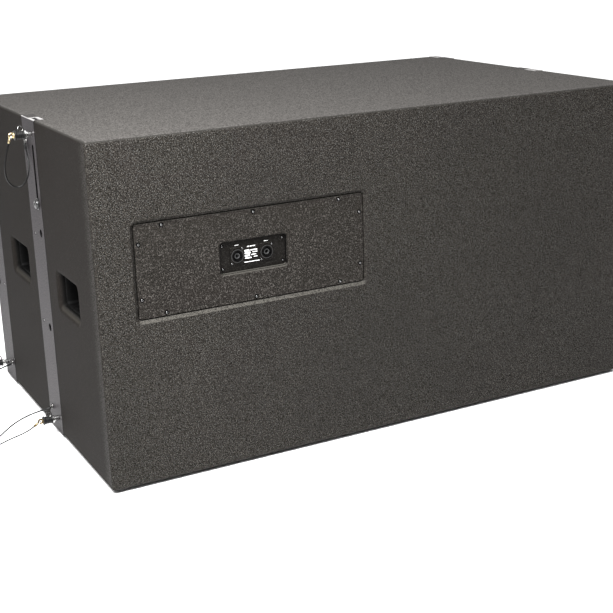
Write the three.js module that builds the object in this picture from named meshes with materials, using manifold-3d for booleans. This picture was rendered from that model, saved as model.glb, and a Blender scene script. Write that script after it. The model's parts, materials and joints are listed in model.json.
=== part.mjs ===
// Dual-driver line array subwoofer cabinet with four flying rails.
// Millimetres, +Z up.  Origin: middle of the footprint on the floor.
// Front (grille) faces -Y, rear (input cover) faces +Y.
import * as THREE from 'three';
import { mergeVertices } from 'three/addons/utils/BufferGeometryUtils.js';
import Module from 'manifold-3d';

const wasm = await Module();
wasm.setup();

// ---------------------------------------------------------------- dimensions
const GAP = 0.3;                    // clearance between neighbouring pieces

const FOOT = 6;                     // height of the rubber feet
const HALF_X = 562;
const HALF_Y = 347;
const BASE = FOOT;                  // underside of the cabinet
const TOP = FOOT + 600;             // top of the cabinet
const MID_Z = (BASE + TOP) / 2;
const PLY = 18;                     // top, bottom, rear and baffle boards
const SIDE_PLY = 30;                // doubled boards that carry the rails
const INNER_X = HALF_X - SIDE_PLY;
const FLOOR_Z = BASE + PLY;
const CEIL_Z = TOP - PLY;

const RAIL = {
  depth: 20,                        // along X
  width: 78,                        // along Y
  skin: 5,                          // outer plate
  channel: 8.1,                     // hollow between outer and back plate
  slotLine: 20,                     // centre line of bar and pins, from the slot side
  anchorLine: 60,                   // small hole line, from the rail's slot side
};
const BAR = { thick: 7.5, width: 34, low: 434, high: 600, parkHole: 542 };
const CHANNEL_WIDTH = BAR.width + 2 * GAP;
const LIFT = 102;                   // travel of a link bar
const SLOT = { low: 453, high: 453 + LIFT, halfWidth: 5.5 };
const PIN = { shank: 5, hole: 5.6, upper: 580, lower: 36, parked: 9.5, tip: 4.7 };
const RIGGING_HOLES = [398, 218];   // large round holes down the slot line
const FIXING_HOLES = [391, 221];    // small holes down the anchor line
const ANCHORS = { upper: 562, lower: 46 };

const HANDLE = { centres: [180, -127], width: 109, low: 280, high: 340, depth: 62 };
const MOUTH = 12.6;                 // rounded-over edge of a hand hole

const COVER = { x: 275, z: 382, width: 434, height: 164, thick: 4, sunk: 4.5 };
const DISH = { width: 127, height: 55.5, depth: 12.6, wall: 1.5 };
const SOCKETS = { pitch: 56, shift: 2 };

const DRIVER_X = 296;
const BAFFLE_Y = -292;              // front face of the baffle
const PORT = { halfWidth: 50, wall: 12, margin: 26, length: 394 };

// ------------------------------------------------------------------ materials
const FINISHES = {
  paint: { color: 0x2c2a28, roughness: 0.85, metalness: 0.0 },
  ply: { color: 0x8a6a45, roughness: 0.8, metalness: 0.0 },
  rail: { color: 0x5a5659, roughness: 0.45, metalness: 0.3 },
  steel: { color: 0x8f8f92, roughness: 0.35, metalness: 0.9 },
  blackSteel: { color: 0x1c1c1d, roughness: 0.5, metalness: 0.4 },
  foam: { color: 0x101011, roughness: 1.0, metalness: 0.0 },
  alloy: { color: 0x4a4a4c, roughness: 0.5, metalness: 0.7 },
  ferrite: { color: 0x262628, roughness: 0.6, metalness: 0.3 },
  cone: { color: 0x1a1a1a, roughness: 0.9, metalness: 0.0 },
  cloth: { color: 0x151514, roughness: 0.95, metalness: 0.0 },
  plastic: { color: 0x121213, roughness: 0.5, metalness: 0.0 },
  rubber: { color: 0x0e0e0e, roughness: 0.9, metalness: 0.0 },
};

// -------------------------------------------------------------------- solids
function signedVolume(points, faces) {
  const a = new THREE.Vector3();
  const b = new THREE.Vector3();
  const c = new THREE.Vector3();
  let sum = 0;
  for (let i = 0; i < faces.length; i += 3) {
    a.fromArray(points, faces[i] * 3);
    b.fromArray(points, faces[i + 1] * 3);
    c.fromArray(points, faces[i + 2] * 3);
    sum += a.dot(b.cross(c));
  }
  return sum;
}

// A closed three.js surface as a solid whose faces point outwards.
function toSolid(geometry) {
  const bare = new THREE.BufferGeometry();
  bare.setAttribute('position', geometry.attributes.position.clone());
  if (geometry.index) bare.setIndex(geometry.index.clone());
  const merged = mergeVertices(bare, 1e-4);
  const points = merged.attributes.position.array;
  const faces = [];
  for (let i = 0; i < merged.index.count; i += 3) {
    const [a, b, c] = [0, 1, 2].map((k) => merged.index.getX(i + k));
    if (a !== b && b !== c && c !== a) faces.push(a, b, c);
  }
  if (signedVolume(points, faces) < 0) faces.reverse();
  const vertProperties = new Float32Array(points);
  const triVerts = new Uint32Array(faces);
  return new wasm.Manifold(new wasm.Mesh({ numProp: 3, vertProperties, triVerts }));
}

function toGeometry(solid) {
  const mesh = solid.getMesh();
  const geometry = new THREE.BufferGeometry();
  geometry.setAttribute('position', new THREE.BufferAttribute(mesh.vertProperties.slice(), 3));
  geometry.setIndex(new THREE.BufferAttribute(mesh.triVerts.slice(), 1));
  geometry.computeVertexNormals();
  return geometry;
}

function box([x0, x1], [y0, y1], [z0, z1]) {
  const geometry = new THREE.BoxGeometry(x1 - x0, y1 - y0, z1 - z0);
  geometry.translate((x0 + x1) / 2, (y0 + y1) / 2, (z0 + z1) / 2);
  return toSolid(geometry);
}

// Turns a shape drawn in (u, v) and pushed along w into world axes.
const ALONG_X = new THREE.Matrix4().makeBasis(
  new THREE.Vector3(0, 1, 0),
  new THREE.Vector3(0, 0, 1),
  new THREE.Vector3(1, 0, 0),
);
const ALONG_Y = new THREE.Matrix4().makeBasis(
  new THREE.Vector3(-1, 0, 0),
  new THREE.Vector3(0, 0, 1),
  new THREE.Vector3(0, 1, 0),
);

function push(shape, frame, from, to, options = {}) {
  const depth = to - from;
  const settings = { depth, bevelEnabled: false, curveSegments: 2, ...options };
  const geometry = new THREE.ExtrudeGeometry(shape, settings);
  geometry.translate(0, 0, from);
  geometry.applyMatrix4(frame);
  return toSolid(geometry);
}

function roundedRect(u0, u1, v0, v1, radius) {
  const shape = new THREE.Shape();
  shape.moveTo(u0 + radius, v0);
  shape.lineTo(u1 - radius, v0);
  shape.absarc(u1 - radius, v0 + radius, radius, -Math.PI / 2, 0);
  shape.lineTo(u1, v1 - radius);
  shape.absarc(u1 - radius, v1 - radius, radius, 0, Math.PI / 2);
  shape.lineTo(u0 + radius, v1);
  shape.absarc(u0 + radius, v1 - radius, radius, Math.PI / 2, Math.PI);
  shape.lineTo(u0, v0 + radius);
  shape.absarc(u0 + radius, v0 + radius, radius, Math.PI, 1.5 * Math.PI);
  return shape;
}

// A body of revolution.  Profile points are [radius, height]; the height runs
// along +Z, +X or +Y after turning.
const TURN_TO = {
  z: new THREE.Matrix4().makeRotationX(Math.PI / 2),
  x: new THREE.Matrix4().makeRotationZ(-Math.PI / 2),
  y: new THREE.Matrix4(),
};

function turned(profile, axis, segments, at = [0, 0, 0]) {
  const points = profile.map(([radius, height]) => new THREE.Vector2(radius, height));
  const geometry = new THREE.LatheGeometry(points, segments);
  geometry.applyMatrix4(TURN_TO[axis]);
  geometry.translate(...at);
  return toSolid(geometry);
}

function ringProfile(inner, outer, low, high) {
  return [[inner, low], [outer, low], [outer, high], [inner, high], [inner, low]];
}

function rodProfile(radius, low, high) {
  return [[0, low], [radius, low], [radius, high], [0, high]];
}

function mirrored(solid) {
  return solid.mirror([1, 0, 0]);
}

// ------------------------------------------------------------------ assembly
const part = new THREE.Group();
part.name = 'line_array_speaker';

function place(name, solid, finish) {
  const material = new THREE.MeshStandardMaterial(FINISHES[finish]);
  const mesh = new THREE.Mesh(toGeometry(solid), material);
  mesh.name = name;
  part.add(mesh);
}

const SIDES = [
  { tag: 'right', mirror: (solid) => solid },
  { tag: 'left', mirror: mirrored },
];

// Two rails a side.  `edge` is the rail's slot-side edge and `inward` the
// direction from that edge across the rail.
const RAILS = [
  { tag: 'rear', edge: 64, inward: -1 },
  { tag: 'front', edge: -HALF_Y, inward: 1 },
];

function across(rail, distance) {
  return rail.edge + rail.inward * distance;
}

function span(a, b) {
  return a < b ? [a, b] : [b, a];
}

// ------------------------------------------------------------ cabinet boards
function railGroove(rail) {
  const [y0, y1] = span(across(rail, 0), across(rail, RAIL.width));
  return box([HALF_X - RAIL.depth - GAP, HALF_X + 1], [y0 - GAP, y1 + GAP], [BASE - 1, TOP + 1]);
}

// Top and bottom boards lie between the side boards.
function board(zRange) {
  return box([-INNER_X + GAP, INNER_X - GAP], [-HALF_Y, HALF_Y], zRange);
}

function handleShape(centre, grow) {
  const u0 = centre - HANDLE.width / 2 - grow;
  const u1 = centre + HANDLE.width / 2 + grow;
  return roundedRect(u0, u1, HANDLE.low - grow, HANDLE.high + grow, 7);
}

// Cutter for a hand hole whose edge is rounded over, as a ring of flats.
function handHole(centre) {
  const flats = 3;
  let hole = push(handleShape(centre, 0), ALONG_X, INNER_X - 1, HALF_X + 1);
  for (let k = 0; k < flats; k += 1) {
    const [a, b] = [k, k + 1].map((step) => (step / flats) * (Math.PI / 2));
    const grow = MOUTH * (1 - Math.cos(a));
    const inner = HALF_X - MOUTH * (1 - Math.sin(a));
    const outer = HALF_X - MOUTH * (1 - Math.sin(b));
    const options = {
      bevelEnabled: true,
      bevelSize: MOUTH * (1 - Math.cos(b)) - grow,
      bevelThickness: outer - inner,
      bevelSegments: 1,
    };
    hole = hole.add(push(handleShape(centre, grow), ALONG_X, outer, HALF_X + 20, options));
  }
  return hole;
}

function sidePanel() {
  let solid = box([INNER_X, HALF_X], [-HALF_Y, HALF_Y], [BASE, TOP]);
  for (const rail of RAILS) solid = solid.subtract(railGroove(rail));
  for (const centre of HANDLE.centres) solid = solid.subtract(handHole(centre));
  return solid;
}

function coverRecess() {
  const halfW = COVER.width / 2 + 1;
  const halfH = COVER.height / 2 + 1;
  const shape = roundedRect(-halfW, halfW, -halfH, halfH, 6);
  const floor = HALF_Y - COVER.sunk - COVER.thick - GAP;
  const chamfer = 5;
  const well = push(shape, ALONG_Y, floor, HALF_Y - chamfer);
  const options = { bevelEnabled: true, bevelSize: chamfer, bevelThickness: chamfer, bevelSegments: 1 };
  const mouth = push(shape, ALONG_Y, HALF_Y, HALF_Y + 10, options);
  const throat = box([-halfW + 20, halfW - 20], [HALF_Y - PLY - 1, HALF_Y], [-halfH + 20, halfH - 20]);
  return well.add(mouth).add(throat).translate([COVER.x, 0, COVER.z]);
}

function rearPanel() {
  const panel = box(
    [-INNER_X + GAP, INNER_X - GAP],
    [HALF_Y - PLY, HALF_Y],
    [FLOOR_Z + GAP, CEIL_Z - GAP],
  );
  return panel.subtract(coverRecess());
}

function baffle() {
  let solid = box(
    [-INNER_X + GAP, INNER_X - GAP],
    [BAFFLE_Y, BAFFLE_Y + PLY],
    [FLOOR_Z + GAP, CEIL_Z - GAP],
  );
  for (const x of [-DRIVER_X, DRIVER_X]) {
    const hole = rodProfile(214, BAFFLE_Y - 1, BAFFLE_Y + PLY + 1);
    solid = solid.subtract(turned(hole, 'y', 28, [x, 0, MID_Z]));
  }
  const port = box(
    [-PORT.halfWidth, PORT.halfWidth],
    [BAFFLE_Y - 1, BAFFLE_Y + PLY + 1],
    [FLOOR_Z + PORT.margin, CEIL_Z - PORT.margin],
  );
  return solid.subtract(port);
}

function portWall() {
  const back = BAFFLE_Y + PLY + GAP;
  return box(
    [PORT.halfWidth, PORT.halfWidth + PORT.wall],
    [back, back + PORT.length],
    [FLOOR_Z + GAP, CEIL_Z - GAP],
  );
}

place('top_panel', board([CEIL_Z, TOP]), 'paint');
place('bottom_panel', board([BASE, FLOOR_Z]), 'paint');
place('rear_panel', rearPanel(), 'paint');
place('baffle', baffle(), 'ply');
for (const { tag, mirror } of SIDES) {
  place(`side_panel_${tag}`, mirror(sidePanel()), 'paint');
  place(`port_wall_${tag}`, mirror(portWall()), 'ply');
}

// ----------------------------------------------------------- handles and feet
// A moulded pocket behind the rounded edge of its hole, open towards the outside.
function handleCup(centre) {
  const wall = 3;
  const front = HALF_X - MOUTH - GAP;
  const outer = push(handleShape(centre, -GAP), ALONG_X, HALF_X - HANDLE.depth, front);
  const inner = push(handleShape(centre, -wall), ALONG_X, HALF_X - HANDLE.depth + wall, HALF_X + 1);
  return outer.subtract(inner);
}

const FOOT_PROFILE = [[0, 0], [13, 0], [15, 2], [15, FOOT - GAP], [0, FOOT - GAP]];
const FOOT_X = HALF_X - 22;
const FOOT_Y = HALF_Y - 22;

for (const { tag, mirror } of SIDES) {
  place(`handle_cup_rear_${tag}`, mirror(handleCup(HANDLE.centres[0])), 'plastic');
  place(`handle_cup_front_${tag}`, mirror(handleCup(HANDLE.centres[1])), 'plastic');
  place(`foot_rear_${tag}`, mirror(turned(FOOT_PROFILE, 'z', 14, [FOOT_X, FOOT_Y, 0])), 'rubber');
  place(`foot_front_${tag}`, mirror(turned(FOOT_PROFILE, 'z', 14, [FOOT_X - 24, -FOOT_Y, 0])), 'rubber');
}

// --------------------------------------------------------------- front grille
function grille() {
  const [x, y0, y1] = [INNER_X - 0.6, -HALF_Y + 2, -HALF_Y + 8];
  const z = [FLOOR_Z + 0.5, CEIL_Z - 0.5];
  const sheet = 2;
  const tray = box([-x, x], [y0, y1], z);
  const hollow = box([-x + sheet, x - sheet], [y0 + sheet, y1 + 1], [z[0] + sheet, z[1] - sheet]);
  return tray.subtract(hollow);
}

place('front_grille', grille(), 'blackSteel');
place('grille_foam', box(
  [-INNER_X + 0.6, INNER_X - 0.6],
  [-HALF_Y + 8 + GAP, -HALF_Y + 18],
  [FLOOR_Z + 0.5, CEIL_Z - 0.5],
), 'foam');

// -------------------------------------------------------------------- drivers
// Heights are measured along +Y from the baffle's front face.
function along(profile) {
  return profile.map(([radius, depth]) => [radius, BAFFLE_Y + depth]);
}

const DRIVER_SEGMENTS = 24;
const MOTOR_FRONT = 100;

function basket() {
  const rim = turned(along([
    [205, -12], [230, -12], [230, -GAP], [211, -GAP], [211, 26], [205, 26], [205, -12],
  ]), 'y', DRIVER_SEGMENTS);
  const seat = turned(along(ringProfile(62, 112, MOTOR_FRONT - 10, MOTOR_FRONT - GAP)), 'y', 20);
  let solid = rim.add(seat);
  const start = new THREE.Vector2(207, 20);
  const end = new THREE.Vector2(104, MOTOR_FRONT - 6);
  const reach = start.distanceTo(end);
  const tilt = Math.atan2(end.y - start.y, end.x - start.x);
  for (let k = 0; k < 6; k += 1) {
    const arm = new THREE.BoxGeometry(reach, 9, 22);
    arm.rotateZ(tilt);
    arm.translate((start.x + end.x) / 2, BAFFLE_Y + (start.y + end.y) / 2, 0);
    arm.rotateY((k + 0.5) * Math.PI / 3);
    solid = solid.add(toSolid(arm));
  }
  return solid;
}

const MOTOR = along([
  [0, MOTOR_FRONT], [48.5, MOTOR_FRONT], [48.5, 132], [54, 132], [54, MOTOR_FRONT],
  [106, MOTOR_FRONT], [110, 104], [110, 176], [102, 184], [0, 184],
]);

// Diaphragm, dust cap and voice-coil tube, glued into one moving piece.
const CONE = along([
  [0, 46], [30, 51], [58, 65.5], [189.7, -6], [189.7, -2], [53.5, 72.5],
  [51.6, 75], [51.6, 114], [50, 114], [50, 70], [30, 54], [0, 49],
]);

const SURROUND = along([
  [190, -7], [193, -13], [197.4, -15], [201.8, -13], [204.7, -7],
  [203, -7], [197.4, -13], [191.7, -7], [190, -7],
]);

for (const { tag, mirror } of SIDES) {
  const at = [DRIVER_X, 0, MID_Z];
  place(`driver_basket_${tag}`, mirror(basket().translate(at)), 'alloy');
  place(`driver_motor_${tag}`, mirror(turned(MOTOR, 'y', 20, at)), 'ferrite');
  place(`driver_cone_${tag}`, mirror(turned(CONE, 'y', DRIVER_SEGMENTS, at)), 'cone');
  place(`driver_surround_${tag}`, mirror(turned(SURROUND, 'y', DRIVER_SEGMENTS, at)), 'cloth');
}

// ---------------------------------------------------------------- input panel
const COVER_FACE = HALF_Y - COVER.sunk;
const DISH_FLOOR = HALF_Y - DISH.depth;

function aroundCover(halfW, halfH, radius) {
  return roundedRect(-halfW - COVER.x, halfW - COVER.x, COVER.z - halfH, COVER.z + halfH, radius);
}

function accessCover() {
  const plate = push(
    aroundCover(COVER.width / 2, COVER.height / 2, 5), ALONG_Y, COVER_FACE - COVER.thick, COVER_FACE,
  );
  const mouth = push(
    aroundCover(DISH.width / 2, DISH.height / 2, 6), ALONG_Y, COVER_FACE - 10, COVER_FACE + 10,
  );
  return plate.subtract(mouth);
}

// Pressed tray behind the cover's mouth; its floor carries the socket plate.
function inputDish() {
  const lip = COVER_FACE - COVER.thick - GAP;
  const flange = push(
    aroundCover(DISH.width / 2 + 10, DISH.height / 2 + 8, 6), ALONG_Y, lip - DISH.wall, lip,
  );
  const tray = push(
    aroundCover(DISH.width / 2 + DISH.wall, DISH.height / 2 + DISH.wall, 7),
    ALONG_Y, DISH_FLOOR - 2 - GAP - DISH.wall, lip - 0.1,
  );
  const inside = push(
    aroundCover(DISH.width / 2, DISH.height / 2, 6), ALONG_Y, DISH_FLOOR - 2 - GAP, lip + 1,
  );
  const window = push(aroundCover(50, 18, 3), ALONG_Y, DISH_FLOOR - 20, DISH_FLOOR);
  return flange.add(tray).subtract(inside).subtract(window);
}

const SOCKET_XS = [1, -1].map((side) => COVER.x + SOCKETS.shift + (side * SOCKETS.pitch) / 2);

function socketPlate() {
  let plate = push(
    aroundCover(DISH.width / 2 - 0.6, DISH.height / 2 - 0.6, 5), ALONG_Y, DISH_FLOOR - 2, DISH_FLOOR,
  );
  for (const x of SOCKET_XS) {
    const hole = rodProfile(11.5, DISH_FLOOR - 5, DISH_FLOOR + 5);
    plate = plate.subtract(turned(hole, 'y', 16, [x, 0, COVER.z]));
  }
  return plate;
}

// Round speaker socket: square flange, barrel, keyed annular well, centre post.
function socket(x) {
  const face = DISH_FLOOR + GAP;
  const flange = push(
    roundedRect(-13 - x, 13 - x, COVER.z - 15.5, COVER.z + 15.5, 2.5), ALONG_Y, face, face + 2,
  );
  const at = [x, 0, COVER.z];
  const barrel = turned(rodProfile(11, face - 24, face + 4), 'y', 16, at);
  const well = turned(ringProfile(5, 9, face - 12, face + 6), 'y', 12, at);
  const bore = turned(rodProfile(2.4, face - 12, face + 6), 'y', 6, at);
  return flange.add(barrel).subtract(well).subtract(bore);
}

place('access_cover', accessCover(), 'paint');
place('input_dish', inputDish(), 'blackSteel');
place('socket_plate', socketPlate(), 'blackSteel');
place('socket_outer', socket(SOCKET_XS[0]), 'plastic');
place('socket_inner', socket(SOCKET_XS[1]), 'plastic');

// -------------------------------------------------------------- flying rails
const CHANNEL_X = [HALF_X - RAIL.skin - RAIL.channel, HALF_X - RAIL.skin];
const THROUGH = [HALF_X - RAIL.depth - 1, HALF_X + 1];
const OUTER_PLATE = [HALF_X - RAIL.skin - 1, HALF_X + 1];

function holeAlongX(radius, [x0, x1], y, z) {
  return turned(rodProfile(radius, x0, x1), 'x', 12, [0, y, z]);
}

function stadium(y, low, high, halfWidth) {
  const reach = halfWidth * 0.999;
  return roundedRect(y - halfWidth, y + halfWidth, low - halfWidth, high + halfWidth, reach);
}

function railBody(rail) {
  const slotY = across(rail, RAIL.slotLine);
  const anchorY = across(rail, RAIL.anchorLine);
  const outline = span(across(rail, 0), across(rail, RAIL.width));
  const barWay = [slotY - CHANNEL_WIDTH / 2, slotY + CHANNEL_WIDTH / 2];
  const wholeHeight = [BASE - 1, TOP + 1];
  let solid = box([HALF_X - RAIL.depth, HALF_X], outline, [BASE, TOP])
    .subtract(box(CHANNEL_X, barWay, wholeHeight));
  const slot = stadium(slotY, SLOT.low, SLOT.high, SLOT.halfWidth);
  solid = solid.subtract(push(slot, ALONG_X, ...OUTER_PLATE));
  for (const z of [PIN.upper, PIN.lower]) {
    solid = solid.subtract(holeAlongX(PIN.hole, THROUGH, slotY, z));
  }
  for (const z of RIGGING_HOLES) solid = solid.subtract(holeAlongX(7.5, OUTER_PLATE, slotY, z));
  for (const z of FIXING_HOLES) solid = solid.subtract(holeAlongX(3.5, OUTER_PLATE, anchorY, z));
  return solid;
}

// Flat bar.  The upper pin locks it through its top hole when it is stored and
// through its bottom hole when it is raised.
function linkBar(rail) {
  const y = across(rail, RAIL.slotLine);
  const outer = HALF_X - RAIL.skin - GAP;
  const blank = roundedRect(y - BAR.width / 2, y + BAR.width / 2, BAR.low, BAR.high, 9);
  const range = [outer - BAR.thick, outer];
  let solid = push(blank, ALONG_X, ...range);
  const through = [range[0] - 1, range[1] + 1];
  for (const z of [PIN.upper, BAR.parkHole, PIN.upper - LIFT]) {
    solid = solid.subtract(holeAlongX(PIN.hole, through, y, z));
  }
  return solid.subtract(holeAlongX(5.3, through, y, SLOT.low));
}

// Shoulder bolt screwed into the bar; its head rides outside the slot.
function guideBolt(rail) {
  const inner = HALF_X - RAIL.skin - GAP - BAR.thick + 0.5;
  const face = HALF_X + GAP;
  const profile = [
    [0, inner], [4.8, inner], [4.8, face], [10.5, face], [10.5, face + 1.5],
    [9, face + 2], [8, face + 6], [4, face + 6], [4, face + 3], [0, face + 3],
  ];
  return turned(profile, 'x', 12, [0, across(rail, RAIL.slotLine), SLOT.low]);
}

// Quick-release pin.  x = 0 is where its collar meets the rail when pushed home.
function quickPin(rail, z) {
  const home = PIN.tip + PIN.parked;
  const profile = [
    [0, -home], [3.6, -home], [PIN.shank, 2 - home], [PIN.shank, 0], [8.8, 0.6], [8.8, 9],
    [7.6, 11], [8.8, 13], [8.8, 20], [4, 21.5], [4, 23.5], [0, 23.5],
  ];
  const offset = HALF_X + PIN.parked;
  const y = across(rail, RAIL.slotLine);
  const body = turned(profile, 'x', 10, [offset, y, z]);
  const eye = turned(ringProfile(2, 4.5, -1.6, 1.6), 'y', 8, [offset + 26.5, y, z]);
  return body.add(eye);
}

// Coated wire lanyard from its screw on the anchor line to the pin's tail eye.
// Route points are [out from the rail, over towards the pin, up] from the screw.
// The upper one hangs in a loop; the lower one rests its loop on the floor.
const WIRE_RADIUS = 1.2;
const ROUTES = {
  upper: [
    [3.5, 0, -3], [3.6, 4.5, -12], [3.8, 10, -21], [4.2, 15.5, -30], [5, 20, -40], [6.8, 23, -50.5],
    [10, 24, -60.5], [15, 23.6, -69.5], [22, 22.4, -76], [30.5, 21.6, -77.6], [38.5, 22.6, -74],
    [45, 25, -66.5], [49.4, 28, -56.5], [51.4, 31.4, -45.5], [51.4, 34.6, -34], [49.6, 37.4, -22.5],
    [47.4, 39.2, -11.5], [44.4, 40, -1], [41.2, 40, 8], [39.1, 40, 13.6],
  ],
  lower: [
    [3.5, 0, -3], [11, -1.6, -4.4], [21, -3.6, -6.2], [32, -5.4, -8.6], [43, -6.8, -11.4],
    [54, -7.8, -14.8], [65, -8.2, -19], [76, -8.2, -24], [87, -7.2, -30], [98, -4.6, -36],
    [109, 0, -41], [119.5, 5, -44], [127.8, 12.2, -44.7], [131, 22, -44.7], [128, 31, -44],
    [119.5, 36.4, -41], [108, 38.4, -36.6], [96, 39, -33], [84, 39.6, -30], [72, 40, -27],
    [61, 40, -23.4], [50.8, 40, -18.6], [41.3, 40, -12.4],
  ],
};

function lanyard(rail, z, route) {
  const base = new THREE.Vector3(HALF_X, across(rail, RAIL.anchorLine), z);
  const points = route.map(([out, over, up]) => (
    new THREE.Vector3(base.x + out, base.y - rail.inward * over, base.z + up)
  ));
  const path = new THREE.CatmullRomCurve3(points, false, 'centripetal');
  const section = new THREE.Shape();
  section.absarc(0, 0, WIRE_RADIUS, 0, 2 * Math.PI);
  const options = { steps: 26, extrudePath: path, curveSegments: 4, bevelEnabled: false };
  return toSolid(new THREE.ExtrudeGeometry(section, options));
}

for (const { tag, mirror } of SIDES) {
  for (const rail of RAILS) {
    const suffix = `${rail.tag}_${tag}`;
    place(`rail_${suffix}`, mirror(railBody(rail)), 'rail');
    place(`link_bar_${suffix}`, mirror(linkBar(rail)), 'steel');
    place(`guide_bolt_${suffix}`, mirror(guideBolt(rail)), 'blackSteel');
    for (const level of ['upper', 'lower']) {
      place(`pin_${level}_${suffix}`, mirror(quickPin(rail, PIN[level])), 'blackSteel');
      const wire = lanyard(rail, ANCHORS[level], ROUTES[level]);
      place(`lanyard_${level}_${suffix}`, mirror(wire), 'rubber');
    }
  }
}

export default part;
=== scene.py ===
import json
import math

import bmesh
import bpy
from mathutils import Matrix, Vector


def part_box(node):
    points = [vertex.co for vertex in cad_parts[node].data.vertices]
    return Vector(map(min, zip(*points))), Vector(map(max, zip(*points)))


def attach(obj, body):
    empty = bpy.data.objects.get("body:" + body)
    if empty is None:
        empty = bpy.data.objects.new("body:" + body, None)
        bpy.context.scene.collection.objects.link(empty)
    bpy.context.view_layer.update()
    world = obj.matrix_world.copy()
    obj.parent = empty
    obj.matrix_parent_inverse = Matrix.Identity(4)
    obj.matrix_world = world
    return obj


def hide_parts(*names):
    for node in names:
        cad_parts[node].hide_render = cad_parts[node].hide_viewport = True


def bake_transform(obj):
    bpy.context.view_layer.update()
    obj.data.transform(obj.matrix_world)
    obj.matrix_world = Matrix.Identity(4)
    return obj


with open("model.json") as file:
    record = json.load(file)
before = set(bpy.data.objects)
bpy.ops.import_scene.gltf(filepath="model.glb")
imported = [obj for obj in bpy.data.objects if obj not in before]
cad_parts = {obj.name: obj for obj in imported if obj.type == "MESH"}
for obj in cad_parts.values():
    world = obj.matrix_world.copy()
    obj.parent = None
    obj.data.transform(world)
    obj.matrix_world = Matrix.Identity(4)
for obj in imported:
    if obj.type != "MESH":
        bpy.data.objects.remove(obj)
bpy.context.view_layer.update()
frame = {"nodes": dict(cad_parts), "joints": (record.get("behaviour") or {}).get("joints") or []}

MM = 0.001

# ---- the frame
NODES = frame["nodes"]
SIDES = {"right": 1, "left": -1}
ROWS = ("rear", "front")
LEVELS = ("upper", "lower")
RAILS = [(row, side) for side in SIDES for row in ROWS]

CEIL_Z, TOP_Z = (corner.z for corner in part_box("top_panel"))
BASE_Z, FLOOR_Z = (corner.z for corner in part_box("bottom_panel"))
INNER_X, HALF_X = (corner.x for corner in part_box("side_panel_right"))
HALF_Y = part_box("side_panel_right")[1].y
REAR_IN_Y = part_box("rear_panel")[0].y


def centre(node):
    low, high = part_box(node)
    return (low + high) / 2


def halves(node):
    """Half the node's size along X, Y and Z."""
    low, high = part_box(node)
    return [(b - a) / 2 for a, b in zip(low, high)]


def linked(name, data):
    """A new object with that data, in the scene."""
    obj = bpy.data.objects.new(name, data)
    bpy.context.scene.collection.objects.link(obj)
    return obj


# ---- camera
CAMERA_PLACE = (1.1209, 2.1491, 0.9136)
CAMERA_AHEAD = Vector((-0.44143, -0.84541, -0.30070))
CAMERA_RIGHT = Vector((-0.88193, 0.47053, -0.02821))
FILM_WIDTH = 36.0                    # millimetres, as is the lens
LENS = 70.4


def make_camera():
    """Behind the cabinet's right rear corner, a little above its top."""
    data = bpy.data.cameras.new("camera")
    data.sensor_width = FILM_WIDTH
    data.lens = LENS
    camera = linked("camera", data)
    right = CAMERA_RIGHT.normalized()
    ahead = CAMERA_AHEAD.normalized()
    up = right.cross(ahead).normalized()
    turn = Matrix((right, up, -ahead)).transposed()
    camera.matrix_world = Matrix.Translation(CAMERA_PLACE) @ turn.to_4x4()
    bpy.context.scene.camera = camera


make_camera()


# ---- mesh foundations
def to_object(name, bm, material=None, sharp=32):
    """A finished piece: normals out, smooth apart from edges over sharp degrees."""
    bmesh.ops.recalc_face_normals(bm, faces=bm.faces)
    mesh = bpy.data.meshes.new(name)
    bm.to_mesh(mesh)
    bm.free()
    return smooth_object(name, mesh, material, sharp)


def finish_mesh(name, mesh, material, sharp=32):
    """A finished piece from a cut mesh, its flat faces shaded flat."""
    cut = smooth_object(name, mesh, None, sharp)
    step = cut.modifiers.new("weigh", "WEIGHTED_NORMAL")
    step.keep_sharp = True
    weighed = applied(cut)
    weighed.materials.append(material)
    return linked(name, weighed)


def smooth_object(name, mesh, material, sharp):
    """An object shaded smooth, apart from edges over sharp degrees."""
    mesh.materials.clear()
    for face in mesh.polygons:
        face.use_smooth = True
        face.material_index = 0
    mesh.set_sharp_from_angle(angle=math.radians(sharp))
    if material:
        mesh.materials.append(material)
    return linked(name, mesh)


def loft(loops, ring=False, bm=None):
    """Skin through loops of equal length.  Ends are capped, or joined if ring."""
    bm = bm or bmesh.new()
    rows = [[bm.verts.new(p) for p in loop] for loop in loops]
    count = len(rows[0])
    pairs = list(zip(rows, rows[1:]))
    if ring:
        pairs.append((rows[-1], rows[0]))
    for a, b in pairs:
        for i in range(count):
            j = (i + 1) % count
            bm.faces.new((a[i], a[j], b[j], b[i]))
    if not ring:
        bm.faces.new(rows[0][::-1])
        bm.faces.new(rows[-1])
    return bm


def circle(radius, segments):
    turn = 2 * math.pi / segments
    return [(radius * math.cos(k * turn), radius * math.sin(k * turn)) for k in range(segments)]


def rounded_rect(half_u, half_v, radius, segments=6, centre_uv=(0, 0)):
    """Points of a rounded rectangle, anticlockwise."""
    points = []
    corners = ((1, 1, 0), (-1, 1, 1), (-1, -1, 2), (1, -1, 3))
    for su, sv, quarter in corners:
        for k in range(segments + 1):
            a = (quarter + k / segments) * math.pi / 2
            u = su * (half_u - radius) + radius * math.cos(a)
            v = sv * (half_v - radius) + radius * math.sin(a)
            points.append((centre_uv[0] + u, centre_uv[1] + v))
    return points


def lift(points, axis, at):
    """2D points into 3D: the third coordinate is at, along axis x, y or z."""
    if axis == "x":
        return [Vector((at, u, v)) for u, v in points]
    if axis == "y":
        return [Vector((u, at, v)) for u, v in points]
    return [Vector((u, v, at)) for u, v in points]


def rect_loop(axis, at, middle, half_u, half_v, radius):
    """Rounded rectangle about middle, square to axis x or y."""
    u = middle.y if axis == "x" else middle.x
    return lift(rounded_rect(half_u, half_v, radius, centre_uv=(u, middle.z)), axis, at)


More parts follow.
